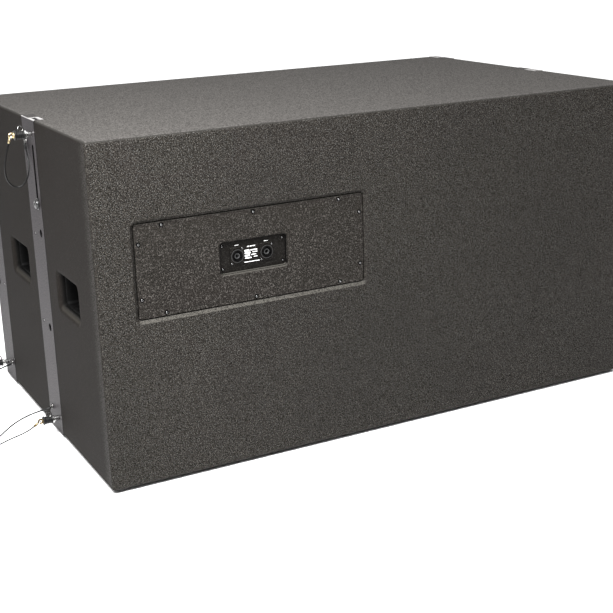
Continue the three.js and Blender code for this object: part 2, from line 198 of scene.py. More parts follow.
def turned(profile, axis, origin, segments=32, sign=1, ring=False, bm=None):
    """Body of revolution.  Profile is (radius, height), in metres, along sign * axis."""
    loops = []
    for radius, height in profile:
        loop = lift(circle(max(radius, 1e-5), segments), axis, sign * height)
        loops.append([p + Vector(origin) for p in loop])
    return loft(loops, ring, bm)


def block(low, high):
    flat = [(low[0], low[1]), (high[0], low[1]), (high[0], high[1]), (low[0], high[1])]
    return loft([lift(flat, "z", low[2]), lift(flat, "z", high[2])])


def prism(points, axis, start, end, bm=None):
    return loft([lift(points, axis, start), lift(points, axis, end)], bm=bm)


def boolean(base, tools, operation="DIFFERENCE"):
    """Cuts, meets or joins bmesh solids and gives the result as a mesh."""
    target = to_object("work", base)
    others = [to_object("tool", tool) for tool in tools]
    for other in others:
        step = target.modifiers.new("step", "BOOLEAN")
        step.operation = operation
        step.solver = "MANIFOLD"
        step.object = other
    return applied(target, others)


def applied(obj, others=()):
    """The object's mesh with its modifiers, after which the objects are removed."""
    view = bpy.context.evaluated_depsgraph_get()
    mesh = bpy.data.meshes.new_from_object(obj.evaluated_get(view))
    for used in (obj, *others):
        bpy.data.objects.remove(used)
    return mesh


def eased(mesh, width, segments=2):
    """The mesh with its edges over 35 degrees broken by a small round."""
    obj = linked("eased", mesh)
    step = obj.modifiers.new("ease", "BEVEL")
    step.width = width
    step.segments = segments
    step.limit_method = "ANGLE"
    step.angle_limit = math.radians(35)
    return applied(obj)


def as_bmesh(mesh):
    bm = bmesh.new()
    bm.from_mesh(mesh)
    return bm


def tube(points, radius, segments=12, ring=False, bm=None):
    """Round tube along points, without twist."""
    count = len(points)
    loops = []
    normal = None
    for k, point in enumerate(points):
        before = points[k - 1] if ring or k else point
        after = points[(k + 1) % count] if ring or k < count - 1 else point
        along = (after - before).normalized()
        if normal is None:
            normal = along.orthogonal()
        normal = (normal - along * normal.dot(along)).normalized()
        side = along.cross(normal)
        loops.append([point + normal * u + side * v for u, v in circle(radius, segments)])
    return loft(loops, ring, bm)


def hoop(origin, major, minor, normal, segments=28, bm=None):
    """Ring of round wire about normal."""
    u = Vector(normal).normalized().orthogonal()
    v = Vector(normal).normalized().cross(u)
    points = [Vector(origin) + u * a + v * b for a, b in circle(major, segments)]
    return tube(points, minor, 10, ring=True, bm=bm)


def add(name, shape, material, slot, *nodes, body="cabinet", sharp=32):
    """A piece from a bmesh or a cut mesh, with its body and the CAD nodes it shows; slot is not used."""
    make = to_object if isinstance(shape, bmesh.types.BMesh) else finish_mesh
    piece = make(name, shape, material, sharp)
    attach(piece, body)
    if nodes:
        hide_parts(*nodes)
    return piece


# ---- materials
class Shader:
    """Short calls for building one node material."""

    def __init__(self, name, roughness, metallic=0.0, specular=0.5):
        self.material = bpy.data.materials.new(name)
        self.material.use_nodes = True
        self.tree = self.material.node_tree
        self.surface = self.tree.nodes["Principled BSDF"]
        self.surface.inputs["Roughness"].default_value = roughness
        self.surface.inputs["Metallic"].default_value = metallic
        self.surface.inputs["Specular IOR Level"].default_value = specular
        self.place = self.node("TexCoord").outputs["Object"]

    def node(self, kind, *values, settings=None, **inputs):
        """A new node.  Values fill its first sockets, and inputs go by a socket's name."""
        made = self.tree.nodes.new("ShaderNode" + kind)
        for key, value in (settings or {}).items():
            setattr(made, key, value)
        for socket, value in zip(made.inputs, values):
            self.feed(socket, value)
        for key, value in inputs.items():
            self.feed(made.inputs[key], value)
        return made

    def feed(self, socket, value):
        if isinstance(value, bpy.types.NodeSocket):
            self.tree.links.new(value, socket)
        else:
            socket.default_value = value

    def noise(self, scale, detail, roughness, **mapping):
        """Noise, in a space stretched by a Scale or moved by a Location."""
        place = self.place
        if mapping:
            place = self.node("Mapping", Vector=place, **mapping).outputs[0]
        made = self.node("TexNoise", Vector=place, Scale=scale, Detail=detail, Roughness=roughness)
        return made.outputs["Fac"]

    def cells(self, scale, feature="F1"):
        settings = {"feature": feature}
        made = self.node("TexVoronoi", settings=settings, Vector=self.place, Scale=scale)
        return made.outputs["Distance"]

    def bands(self, direction, scale, distortion):
        settings = {"wave_type": "BANDS", "bands_direction": direction}
        made = self.node(
            "TexWave", settings=settings, Vector=self.place, Scale=scale, Distortion=distortion,
        )
        return made.outputs["Fac"]

    def math(self, operation, a, b=0.0):
        return self.node("Math", a, b, settings={"operation": operation}).outputs[0]

    def span(self, value, low, high, to_low=0.0, to_high=1.0, kind="SMOOTHSTEP"):
        settings = {"interpolation_type": kind}
        made = self.node("MapRange", value, low, high, to_low, to_high, settings=settings)
        return made.outputs[0]

    def mix(self, factor, a, b):
        """Colours a to b.  The colour sockets are the mix node's seventh and eighth."""
        made = self.node("Mix", factor, settings={"data_type": "RGBA"})
        self.feed(made.inputs[6], a)
        self.feed(made.inputs[7], b)
        return made.outputs[2]

    def coord(self, name):
        """A coordinate of the point, in metres: X, Y or Z."""
        return self.node("SeparateXYZ", self.place).outputs[name]

    def facing(self, name):
        """How far the surface looks along X, Y or Z."""
        normal = self.node("NewGeometry").outputs["Normal"]
        return self.node("SeparateXYZ", normal).outputs[name]

    def color(self, value):
        self.feed(self.surface.inputs["Base Color"], value)

    def rough(self, value):
        self.feed(self.surface.inputs["Roughness"], value)

    def bump(self, value, depth, strength, **under):
        """Relief from value.  A Normal under it is relief that is already there."""
        made = self.node("Bump", Height=value, Distance=depth, Strength=strength, **under)
        self.feed(self.surface.inputs["Normal"], made.outputs[0])
        return made.outputs[0]

    def mottled(self, pattern, edges, tones, rough=None, relief=None):
        """Colour, and where they are given roughness and relief, from one pattern."""
        self.color(self.mix(self.span(pattern, *edges), *tones))
        if rough:
            self.rough(self.span(pattern, *rough))
        if relief:
            self.bump(pattern, *relief)
        return self.material


def grey(value, warm=0.0):
    return (value * (1 + warm), value, value * (1 - warm), 1)


def cabinet_coating():
    """Sprayed polyurea: coarse spatter on the rear, paler up-facing faces (dust and painted overhead
    light), painted shade in its openings.
    """
    s = Shader("cabinet_coating", 0.7, specular=0.08)
    near_rear = s.span(s.coord("Y"), HALF_Y - 40 * MM, HALF_Y - 22 * MM)
    heavy = s.math("MULTIPLY", s.span(s.facing("Y"), 0.45, 0.85), near_rear)
    overspray = s.span(s.coord("Y"), HALF_Y - 45 * MM, HALF_Y, 0.15, 0.7)
    heavy = s.math("MAXIMUM", heavy, overspray)
    grain = s.cells(560, "SMOOTH_F1")
    broad = s.noise(430, 3, 0.6)
    flecks = s.noise(620, 2, 0.55)
    grit = s.noise(1500, 2, 0.5)
    drift = s.noise(3.5, 4, 0.55)
    # Lighter crests over darker valleys: partly the spatter's own two tones, partly painted highlight on
    # the crests.
    heap = s.math("ADD", s.math("MULTIPLY", grain, -1.1), s.math("MULTIPLY", broad, 1.3))
    crest = s.math("MULTIPLY", s.span(heap, -0.1, 0.4), heavy)
    valley = s.mix(heavy, (0.0056, 0.0041, 0.0032, 1), (0.0033, 0.0026, 0.0019, 1))
    tone = s.mix(crest, valley, (0.0148, 0.013, 0.0108, 1))
    # Light flecks: partly coloured grains, partly painted glints.
    speck_and_glint = s.math("MULTIPLY", s.span(flecks, 0.55, 0.64), heavy)
    hue = s.mix(s.span(grit, 0.45, 0.55), (0.146, 0.132, 0.114, 1), (0.108, 0.113, 0.114, 1))
    tone = s.mix(s.math("MULTIPLY", speck_and_glint, 0.54), tone, hue)
    tone = s.mix(s.span(drift, 0.35, 0.7, 0, 0.2), tone, (0.0088, 0.008, 0.0078, 1))
    # Up-facing faces: a paler tone, partly dust and partly painted overhead light.
    flat = s.mix(s.span(broad, 0.42, 0.58), (0.022, 0.0205, 0.0192, 1), (0.062, 0.0585, 0.055, 1))
    # lip: painted highlight, a lighter tone on half-up-facing chamfers and rounds as if lit from above,
    # toned down on the side boards and near the top edge.
    lip = s.mix(s.span(flecks, 0.4, 0.6), (0.016, 0.015, 0.0132, 1), (0.062, 0.0585, 0.0515, 1))
    outside = s.math("ABSOLUTE", s.coord("X"))
    on_side = s.span(outside, INNER_X, INNER_X + 1 * MM)
    lip = s.mix(on_side, lip, (0.02, 0.0182, 0.0155, 1))
    lip = s.mix(s.span(s.coord("Z"), TOP_Z - 12 * MM, TOP_Z - 8 * MM), lip, (0.017, 0.016, 0.0145, 1))
    # Faces looking up take the paler tone; half-up-facing ones take the lip's painted highlight.
    rising = s.facing("Z")
    upper = s.mix(s.span(rising, 0.8, 0.98), lip, flat)
    tone = s.mix(s.span(rising, 0.4, 0.7), tone, upper)
    # Painted shade: faces sunk more than a few millimetres into the side boards, as in the hand holes and
    # rail gaps, go near black.
    painted_opening_shade = s.math("MULTIPLY", s.span(outside, HALF_X - 2 * MM, HALF_X - 11 * MM), on_side)
    painted_opening_shade = s.math("MULTIPLY", painted_opening_shade, s.span(s.coord("Z"), TOP_Z - 8 * MM, TOP_Z - 12 * MM))
    painted_opening_shade = s.math("MULTIPLY", painted_opening_shade, s.span(s.coord("Y"), HALF_Y - 12 * MM, HALF_Y - 16 * MM))
    s.color(s.mix(painted_opening_shade, tone, (0.0012, 0.0011, 0.001, 1)))
    s.rough(s.span(crest, 0, 1, 0.8, 0.5))
    fine = s.bump(grit, 0.00012, 0.5)
    s.bump(s.math("MULTIPLY", heap, heavy), 0.0006, 0.9, Normal=fine)
    return s.material


def cover_paint(name="cover_paint", low=0.0024, high=0.0165):
    """Textured powder coat: fine grains with a few light specks, painted overhead light on up-facing
    faces, painted shade on its walls.
    """
    s = Shader(name, 0.6, specular=0.06)
    grain = s.noise(540, 3, 0.65)
    speck = s.noise(600, 2, 0.5, Location=(3, 1, 2))
    cloud = s.noise(12, 4, 0.55)
    # up: painted overhead light, a paler tone on up-facing faces such as the mouth's lower flare.
    up = s.span(s.facing("Z"), 0.4, 0.9, 0, 0.8)
    tone = s.mix(s.span(grain, 0.42, 0.6), grey(low, 0.16), grey(high, 0.14))
    tone = s.mix(s.span(speck, 0.56, 0.66, 0, 0.62), tone, grey(high * 5, 0.08))
    tone = s.mix(s.span(cloud, 0.45, 0.75, 0, 0.25), tone, grey(high * 0.8, 0.16))
    # Painted shade: walls that do not face along Y go near black.
    painted_wall_shade = s.span(s.math("ABSOLUTE", s.facing("Y")), 0.6, 0.35)
    tone = s.mix(painted_wall_shade, tone, grey(0.0012))
    s.color(s.mix(up, tone, (0.05, 0.0475, 0.042, 1)))
    s.rough(s.span(grain, 0.3, 0.7, 0.72, 0.5))
    s.bump(grain, 0.0003, 0.7)
    return s.material


def satin_black(name, tone, roughness, scuffs, grain, specular=0.5):
    """Moulded or powder coated black with light scuffs."""
    s = Shader(name, roughness, specular=specular)
    scuff = s.noise(60, 6, 0.75, Scale=(1, 1, 3))
    pores = s.noise(grain * 2.2, 2, 0.5)
    s.color(s.mix(s.span(scuff, 0.58, 0.78, 0, scuffs), grey(tone), grey(0.11, 0.02)))
    s.rough(s.span(scuff, 0.4, 0.7, roughness - 0.06, roughness + 0.16))
    s.bump(pores, 0.0001, 0.5)
    return s.material


def rail_paint():
    """Satin grey-violet powder coat, worn to bright metal round its cut top end, with painted shade on its
    slot and side walls.
    """
    s = Shader("rail_paint", 0.5, specular=0.11)
    cloud = s.noise(16, 4, 0.6, Scale=(1, 1, 0.35))
    peel = s.noise(420, 2, 0.5)
    scrape = s.noise(90, 7, 0.75, Scale=(1, 1, 0.12))
    tone = s.mix(s.span(cloud, 0.35, 0.7), (0.0142, 0.0114, 0.013, 1), (0.0192, 0.0157, 0.0178, 1))
    worn = s.span(scrape, 0.66, 0.74, 0, 0.06)
    top_end = s.span(s.coord("Z"), TOP_Z - 1.6 * MM, TOP_Z - 0.5 * MM)
    outer = s.span(s.math("ABSOLUTE", s.coord("X")), HALF_X - 1.6 * MM, HALF_X - 0.9 * MM)
    rim = outer
    for row in ROWS:
        low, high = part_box(f"link_bar_{row}_right")
        off_line = s.math("ABSOLUTE", s.math("SUBTRACT", s.coord("Y"), (low.y + high.y) / 2))
        half = (high.y - low.y) / 2
        rim = s.math("MAXIMUM", rim, s.span(off_line, half + 1.4 * MM, half + 0.7 * MM))
    bare = s.math("MAXIMUM", worn, s.math("MULTIPLY", top_end, rim))
    # Painted shade: faces that do not look along X, the slot, hole and side walls, go near black.
    painted_wall_shade = s.span(s.math("ABSOLUTE", s.facing("X")), 0.55, 0.35)
    tone = s.mix(painted_wall_shade, tone, (0.0012, 0.0011, 0.0011, 1))
    coated = s.mix(top_end, tone, (0.03, 0.028, 0.027, 1))
    s.color(s.mix(bare, coated, (0.4, 0.39, 0.385, 1)))
    s.feed(s.surface.inputs["Metallic"], s.math("MULTIPLY", bare, 0.6))
    s.rough(s.span(peel, 0.35, 0.65, 0.42, 0.58))
    s.bump(peel, 0.00012, 0.35)
    return s.material


def plated_steel(
    name, tint=(0.5, 0.5, 0.49, 1), roughness=0.3, stretch=(1, 1, 0.06), painted_shade_top=False,
):
    """Zinc or nickel plate with drawing marks and a few darker handling spots, and if asked, painted shade
    on its up-facing end.
    """
    s = Shader(name, roughness, 1.0)
    drawn = s.noise(900, 4, 0.6, Scale=stretch)
    spots = s.noise(45, 5, 0.7)
    dull = tuple(c * 0.55 for c in tint[:3]) + (1,)
    tone = s.mix(s.span(spots, 0.5, 0.75, 0, 0.6), tint, dull)
    # Painted shade: up-facing faces, such as the bar's top end down in the rail's channel, go near black.
    if painted_shade_top:
        tone = s.mix(s.span(s.facing("Z"), 0.2, 0.6), tone, grey(0.004))
    s.color(tone)
    s.rough(s.span(drawn, 0.3, 0.7, roughness - 0.06, roughness + 0.14))
    s.bump(drawn, 0.00006, 0.35)
    return s.material


def brass_plate(name, bright, stained):
    s = Shader(name, 0.28, 1.0)
    stain = s.noise(220, 4, 0.65)
    return s.mottled(stain, (0.4, 0.7), (bright, stained), (0.3, 0.7, 0.22, 0.42))


def wire_coating():
    """Black plastic drawn over a stranded wire, whose lay shows through."""
    s = Shader("wire_coating", 0.45, specular=0.2)
    wear = s.noise(160, 4, 0.6)
    s.color(s.mix(s.span(wear, 0.55, 0.75, 0, 0.2), grey(0.003), grey(0.03, 0.03)))
    s.rough(s.span(wear, 0.4, 0.7, 0.34, 0.55))
    s.bump(s.bands("DIAGONAL", 380, 1.2), 0.0001, 0.5)
    return s.material


def rubber():
    s = Shader("foot_rubber", 0.85)
    dust = s.noise(300, 5, 0.7)
    tones = (grey(0.012), grey(0.06, 0.06))
    return s.mottled(dust, (0.45, 0.75, 0, 0.6), tones, (0.4, 0.7, 0.8, 0.95), (0.0002, 0.5))


def plywood():
    """Birch plywood: long figure on the faces and plies on the cut edges."""
    s = Shader("plywood", 0.6)
    figure = s.noise(26, 6, 0.6, Scale=(0.16, 1.0, 1.2))
    pores = s.noise(420, 3, 0.6, Scale=(0.05, 1, 1))
    tone = s.mix(s.span(figure, 0.3, 0.72), (0.43, 0.27, 0.14, 1), (0.27, 0.15, 0.07, 1))
    edge = s.math("LESS_THAN", s.math("ABSOLUTE", s.facing("Y")), 0.5)
    band = s.math("MULTIPLY", s.span(s.bands("Y", 110, 0.4), 0.45, 0.6), edge)
    s.color(s.mix(s.math("MULTIPLY", band, 0.55), tone, (0.16, 0.085, 0.04, 1)))
    s.rough(s.span(pores, 0.35, 0.7, 0.5, 0.72))
    s.bump(pores, 0.00012, 0.4)
    return s.material


def acoustic_foam():
    """Open-cell foam."""
    s = Shader("acoustic_foam", 0.98)
    return s.mottled(s.cells(620), (0.15, 0.6), (grey(0.003), grey(0.02)), relief=(0.0008, 0.9))


def cast_alloy():
    s = Shader("cast_alloy", 0.5, 0.25)
    sand = s.noise(500, 4, 0.65)
    tones = (grey(0.03), grey(0.06))
    return s.mottled(sand, (0.35, 0.7), tones, (0.35, 0.7, 0.42, 0.62), (0.0003, 0.5))


def motor_steel():
    """Ferrite ring, dull and chipped, between plated steel plates."""
    s = Shader("motor_steel", 0.5)
    low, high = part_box("driver_motor_right")
    share = s.span(s.coord("Y"), low.y, high.y, kind="LINEAR")
    ferrite = s.math("MULTIPLY", s.span(share, 0.2, 0.21), s.span(share, 0.8, 0.79))
    chips = s.noise(130, 5, 0.7)
    dark = s.mix(s.span(chips, 0.6, 0.7), grey(0.035), grey(0.08))
    s.color(s.mix(ferrite, grey(0.42, 0.02), dark))
    s.feed(s.surface.inputs["Metallic"], s.math("SUBTRACT", 1.0, ferrite))
    s.rough(s.span(chips, 0.3, 0.7, 0.32, 0.6))
    s.bump(chips, 0.0002, 0.4)
    return s.material


def cone_paper():
    """Pressed pulp with long fibres."""
    s = Shader("cone_paper", 0.9)
    fibre = s.noise(260, 6, 0.75, Scale=(1, 0.4, 1))
    tones = (grey(0.012, 0.03), grey(0.045, 0.03))
    return s.mottled(fibre, (0.35, 0.7), tones, relief=(0.0004, 0.7))


THREAD = 6200.0                      # weave of the cloth, in radians a metre


def surround_cloth():
    """Woven, doped cloth roll."""
    s = Shader("surround_cloth", 0.7)
    warp, weft = (
        s.math("SINE", s.math("MULTIPLY", s.coord(name), THREAD)) for name in ("X", "Z")
    )
    weave = s.math("MULTIPLY", warp, weft)
    tones = (grey(0.008), grey(0.028))
    return s.mottled(weave, (-0.8, 0.8), tones, (-1, 1, 0.75, 0.55), (0.0002, 0.6))


def printed_mark():
    """Pale screen-print ink, slightly patchy, with no lettering."""
    s = Shader("printed_mark", 0.6)
    patch = s.noise(700, 4, 0.6)
    tones = (grey(0.85, 0.01), grey(0.45, 0.01))
    return s.mottled(patch, (0.5, 0.8), tones, (0.3, 0.7, 0.5, 0.7))


def studio_floor():
    s = Shader("studio_floor", 0.75)
    return s.mottled(s.noise(1.2, 3, 0.5), (0.3, 0.7), (grey(0.86), grey(0.9)))


PAINT = cabinet_coating()
COVER = cover_paint()
PANEL = cover_paint("panel_paint", 0.0026, 0.0042)
RAIL = rail_paint()
ZINC = plated_steel("zinc_plate")
# The link bars' plate, with painted shade on their top ends.
BAR_STEEL = plated_steel("bar_plate", painted_shade_top=True)
SCREW = plated_steel("screw_steel", (0.12, 0.12, 0.12, 1), 0.14, (1, 1, 1))
CHROME = plated_steel("chrome_plate", (0.55, 0.55, 0.54, 1), 0.16, (1, 1, 1))
NICKEL = plated_steel("nickel_plate", (0.08, 0.079, 0.076, 1), 0.18, (1, 1, 1))
BRASS = brass_plate("brass_plate", (0.6, 0.5, 0.31, 1), (0.33, 0.255, 0.14, 1))
# A darker copy of the brass plate, on the lower pins' tails and sleeves.
DARK_BRASS = brass_plate("darker_brass", (0.16, 0.12, 0.06, 1), (0.06, 0.045, 0.025, 1))
TAIL_METAL = {"upper": BRASS, "lower": DARK_BRASS}
BLACK_STEEL = satin_black("black_steel", 0.012, 0.22, 0.15, 900)
GRIP = satin_black("pin_grip_plastic", 0.003, 0.42, 0.06, 800, 0.3)
CUP = satin_black("cup_plastic", 0.0015, 0.6, 0.01, 500, 0.08)
SOCKET = satin_black("socket_plastic", 0.0012, 0.45, 0.01, 900, 0.03)
SOCKET_POST = satin_black("socket_post_plastic", 0.021, 0.5, 0.1, 900, 0.3)
GRILLE = satin_black("grille_powder_coat", 0.014, 0.45, 0.15, 600)
WIRE = wire_coating()
RUBBER = rubber()
PLY = plywood()
FOAM = acoustic_foam()
ALLOY = cast_alloy()
MOTOR = motor_steel()
CONE = cone_paper()
SURROUND = surround_cloth()
MARK = printed_mark()


# ---- lanyards
# Route points of a coated wire: out from the rail's face, over towards the pin
# and up, in metres from the screw that holds it.
ROUTES = {
    "upper": (
        (0.0035, 0, -0.003), (0.0036, 0.0045, -0.012), (0.0038, 0.010, -0.021),
        (0.0042, 0.0155, -0.030), (0.005, 0.020, -0.040), (0.0068, 0.023, -0.0505),
        (0.010, 0.024, -0.0605), (0.015, 0.0236, -0.0695), (0.022, 0.0224, -0.076),
        (0.0305, 0.0216, -0.0776), (0.0385, 0.0226, -0.074), (0.045, 0.025, -0.0665),
        (0.0494, 0.028, -0.0565), (0.0514, 0.0314, -0.0455), (0.0514, 0.0346, -0.034),
        (0.0496, 0.0374, -0.0225), (0.0474, 0.0392, -0.0115), (0.0444, 0.040, -0.001),
        (0.0412, 0.040, 0.008), (0.0391, 0.040, 0.0136),
    ),
    "lower": (
        (0.0035, 0, -0.003), (0.011, -0.0016, -0.0044), (0.021, -0.0036, -0.0062),
        (0.032, -0.0054, -0.0086), (0.043, -0.0068, -0.0114), (0.054, -0.0078, -0.0148),
        (0.065, -0.0082, -0.019), (0.076, -0.0082, -0.024), (0.087, -0.0072, -0.030),
        (0.098, -0.0046, -0.036), (0.109, 0, -0.041), (0.1195, 0.005, -0.044),
        (0.1278, 0.0122, -0.0447), (0.131, 0.022, -0.0447), (0.128, 0.031, -0.044),
        (0.1195, 0.0364, -0.041), (0.108, 0.0384, -0.0366), (0.096, 0.039, -0.033),
        (0.084, 0.0396, -0.030), (0.072, 0.040, -0.027), (0.061, 0.040, -0.0234),
        (0.0508, 0.040, -0.0186), (0.0413, 0.040, -0.0124),
    ),
}
# Stretch of "over" along which a wire goes from the cabinet to its pin.
FOLLOWS = {"upper": (0.023, 0.0398), "lower": (0.006, 0.0398)}
SCREW_FROM_PIN = {"upper": -0.018, "lower": 0.010}
ANCHOR_SPACING = 0.040               # anchor line to slot line
WIRE_RADIUS = 1.5 * MM
PARKED = 9.5 * MM                    # rail face to pin collar, as stored
TAIL_EYE = 26.5 * MM                 # pin collar to the centre of its tail eye


class RailFrame:
    """Places on one rail, as distance out of its face, Y and Z."""

    def __init__(self, row, side):
        self.suffix = f"{row}_{side}"
        self.sign = SIDES[side]
        self.low, self.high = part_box(f"rail_{self.suffix}")
        self.bar = f"link_bar_{self.suffix}"
        self.bolt = f"guide_bolt_{self.suffix}"
        self.bolt_z = centre(self.bolt).z
        self.slot_y = centre(self.bar).y
        self.over = 1 if self.slot_y > (self.low.y + self.high.y) / 2 else -1
        self.anchor_y = self.slot_y - self.over * ANCHOR_SPACING

    def pin_z(self, level):
        return centre(f"pin_{level}_{self.suffix}").z

    def screw_z(self, level):
        return self.pin_z(level) + SCREW_FROM_PIN[level]

    def point(self, out, y, z):
        return Vector((self.sign * (HALF_X + out), y, z))

    def across(self, *outs):
        """X of places that far out of the face, lowest first."""
        return sorted(self.sign * (HALF_X + out) for out in outs)

    def profile(self, points, y, z, segments=32, ring=False, bm=None):
        """Body turned about an axis out of the rail at y and z; points in millimetres."""
        outline = [(radius * MM, height * MM) for radius, height in points]
        return turned(outline, "x", self.point(0, y, z), segments, self.sign, ring, bm)


RAIL_FRAMES = [RailFrame(row, side) for row, side in RAILS]


def spline(points, steps=6):
    """Centripetal Catmull-Rom curve through points."""
    ends = [points[0] * 2 - points[1], *points, points[-1] * 2 - points[-2]]
    line = []
    for a, b, c, d in zip(ends, ends[1:], ends[2:], ends[3:]):
        t1 = math.sqrt((b - a).length)
        t2 = t1 + math.sqrt((c - b).length)
        t3 = t2 + math.sqrt((d - c).length)
        for k in range(steps):
            t = t1 + (t2 - t1) * k / steps
            ab = a.lerp(b, t / t1)
            bc = b.lerp(c, (t - t1) / (t2 - t1))
            cd = c.lerp(d, (t - t2) / (t3 - t2))
            abc = ab.lerp(bc, t / t2)
            bcd = bc.lerp(cd, (t - t1) / (t3 - t1))
            line.append(abc.lerp(bcd, (t - t1) / (t2 - t1)))
    line.append(points[-1].copy())
    return line


def length_of(line):
    return sum((b - a).length for a, b in zip(line, line[1:]))


def start_of(line, length):
    """The first stretch of line, of that length."""
    kept = [line[0]]
    for point in line[1:]:
        kept.append(point)
        if length_of(kept) >= length:
            break
    return kept


def crimp(line):
    """Swaged sleeve along a short line, with rolled ends."""
    ahead = (line[-1] - line[0]).normalized()
    side = ahead.orthogonal().normalized()
    other = ahead.cross(side)
    total = length_of(line)
    loops = []
    for radius, share in ((1.5, 0), (2.0, 0.05), (2.3, 0.14), (2.3, 0.86), (2.0, 0.95), (1.5, 1)):
        middle = line[0] + ahead * total * share
        loops.append([middle + side * u + other * v for u, v in circle(radius * MM, 16)])
    return loft(loops)


def anchor_eye(rail, level):
    """Ring terminal and round screw head that hold the wire to the rail."""
    place = (rail.anchor_y, rail.screw_z(level))
    washer = [(2.6, 0.3), (5.2, 0.3), (5.4, 0.6), (5.2, 1.5), (2.6, 1.5)]
    head = [(0, 1.2), (4.2, 1.2), (4.3, 1.9), (3.7, 3.2), (2.4, 3.9), (1.7, 4.0), (1.5, 2.9), (0, 2.9)]
    bm = rail.profile(washer, *place, ring=True)
    rail.profile(head, *place, bm=bm)
    return add(f"anchor_eye_{level}_{rail.suffix}", bm, NICKEL, "zinc_steel")


def tail_loop(rail, level, wire_end):
    """Small loop of wire that links the sleeve to the eye in the pin's tail."""
    eye = rail.point(PARKED + TAIL_EYE, rail.slot_y, rail.pin_z(level))
    reach = wire_end - eye
    normal = reach.cross(Vector((0, 1, 0)))
    bm = hoop(eye + reach * 0.62, 0.42 * reach.length + 0.6 * MM, 0.8 * MM, normal)
    ends = f"{level}_{rail.suffix}"
    return add(f"tail_loop_{ends}", bm, ZINC, "zinc_steel", body=f"pin_{ends}")


def make_lanyard(rail, level):
    ends = f"{level}_{rail.suffix}"
    screw_z = rail.screw_z(level)
    line = spline([
        rail.point(out, rail.anchor_y + rail.over * over, screw_z + up)
        for out, over, up in ROUTES[level]
    ])
    wire = to_object(f"wire_{ends}", tube(line, WIRE_RADIUS, 10), WIRE)
    start, end = (
        rail.point(0, rail.anchor_y + rail.over * over, screw_z) for over in FOLLOWS[level]
    )
    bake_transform(wire)
    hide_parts(f"lanyard_{ends}")
    near = add(f"crimp_{ends}", crimp(start_of(line, 11 * MM)), WIRE, "black_steel")
    sleeve = crimp(start_of(line[::-1], 8 * MM))
    far = add(f"tail_crimp_{ends}", sleeve, TAIL_METAL[level], "zinc_steel", body=f"pin_{ends}")
    anchor_eye(rail, level)
    tail_loop(rail, level, line[-1])


for rail_frame in RAIL_FRAMES:
    for height in LEVELS:
        make_lanyard(rail_frame, height)


# ---- cabinet boards
EDGE = 6 * MM                        # round of the cabinet's outer edges
MOUTH = 12.6 * MM                    # round-over of a hand hole
CUP_GAP = 0.3 * MM                   # round a hand hold's cup
CUP_CORNER = 7 * MM
RAIL_SHADOW = 0.7 * MM               # gap between a rail and the boards
REAR_SHADOW = 2.2 * MM               # the wider gap along a rail's rear edge
PAST = 5 * MM                        # how far a cutting tool runs past a face


def rounded_body():
    bm = block((-HALF_X, -HALF_Y, BASE_Z), (HALF_X, HALF_Y, TOP_Z))
    bmesh.ops.bevel(bm, geom=bm.edges[:], offset=EDGE, segments=5, profile=0.5, affect="EDGES")
    tools = []
    for rail in RAIL_FRAMES:
        back = min(abs(rail.low.x), abs(rail.high.x)) - RAIL_SHADOW
        first, last = rail.across(PAST, back - HALF_X)
        tools.append(block(
            (first, rail.low.y - RAIL_SHADOW, BASE_Z - PAST),
            (last, rail.high.y + REAR_SHADOW, TOP_Z + PAST),
        ))
    for row, side in RAILS:
        node = f"handle_cup_{row}_{side}"
        middle = centre(node)
        _, half_y, half_z = (half + CUP_GAP for half in halves(node))
        steps = [(0, INNER_X - PAST), (0, HALF_X - MOUTH)]
        for k in range(1, 10):
            turn = k * math.pi / 18
            steps.append((MOUTH * (1 - math.cos(turn)), HALF_X - MOUTH * (1 - math.sin(turn))))
        steps.append((MOUTH + 0.3 * MM, HALF_X + PAST))
        tools.append(loft([
            rect_loop("x", SIDES[side] * x, middle, half_y + grow, half_z + grow, CUP_CORNER + grow)
            for grow, x in steps
        ]))
    return boolean(bm, tools)


def cover_recess():
    """Well for the input cover: straight walls, then a chamfered mouth."""
    low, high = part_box("access_cover")
    middle = centre("access_cover")
    half_x, _, half_z = halves("access_cover")
    chamfer = 5 * MM
    clear = 1 * MM
    corner = 7 * MM
    ledge = 20 * MM
    well = loft([
        rect_loop("y", y, middle, half_x + clear + grow, half_z + clear + grow, corner + grow)
        for y, grow in (
            (low.y - 0.3 * MM, 0), (HALF_Y - chamfer, 0), (HALF_Y + PAST, chamfer + PAST),
        )
    ])
    throat = block(
        (low.x + ledge, REAR_IN_Y - PAST, low.z + ledge),
        (high.x - ledge, low.y + PAST, high.z - ledge),
    )
    return [well, throat]


def make_boards():
    body = rounded_body()
    far = 2 * HALF_X
    regions = {
        "top_panel": ((-INNER_X, -far, CEIL_Z), (INNER_X, far, far)),
        "bottom_panel": ((-INNER_X, -far, -far), (INNER_X, far, FLOOR_Z)),
        "side_panel_right": ((INNER_X, -far, -far), (far, far, far)),
        "side_panel_left": ((-far, -far, -far), (-INNER_X, far, far)),
        "rear_panel": ((-INNER_X, REAR_IN_Y, FLOOR_Z), (INNER_X, far, CEIL_Z)),
    }
    for node, (low, high) in regions.items():
        mesh = boolean(as_bmesh(body), [block(low, high)], "INTERSECT")
        if node == "rear_panel":
            mesh = boolean(as_bmesh(mesh), cover_recess())
        add(f"coated_{node}", mesh, PAINT, "cabinet_paint", node, sharp=40)


make_boards()


